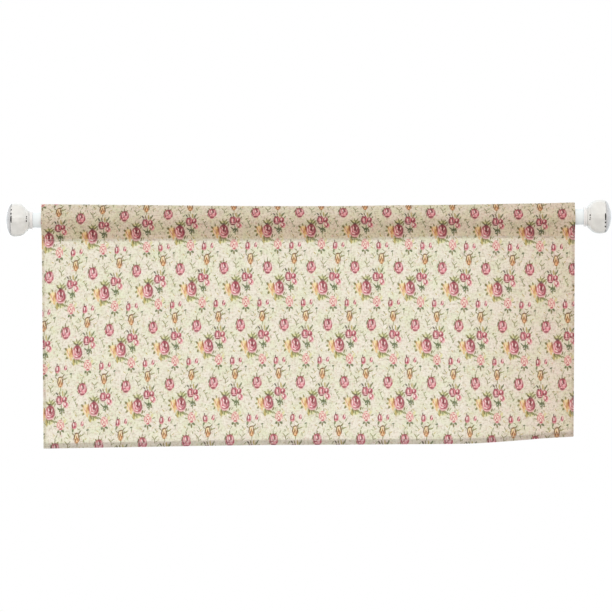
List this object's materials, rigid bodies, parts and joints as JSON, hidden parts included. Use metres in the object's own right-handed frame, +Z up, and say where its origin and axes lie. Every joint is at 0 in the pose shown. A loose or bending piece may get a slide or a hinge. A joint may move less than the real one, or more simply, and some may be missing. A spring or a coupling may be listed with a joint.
{
  "type": "window valance on a curtain rod",
  "caption": "Flat flowered window valance with a stitched rod pocket, hanging from a plain round curtain rod that ends in faceted knobs.",
  "frame": {"origin": "middle of the curtain rod's axis, where the wall brackets hold it", "axes": "+X along the rod to the right seen from the room, -Y out of the printed face into the room, +Z up"},
  "size_m": [1.1508, 0.0668, 0.466],
  "materials": {
    "cloth": "plain woven linen-look cotton printed with roses and buds, matt",
    "rod_metal": "satin white paint",
    "clear_knob": "polished, pale and half clear, with cut faces"
  },
  "bodies": {
    "root": {"valance_cloth": "cloth", "curtain_rod": "rod_metal", "collar_left": "clear_knob", "collar_right": "clear_knob", "finial_left": "clear_knob", "finial_right": "clear_knob"}
  },
  "joints": []
}
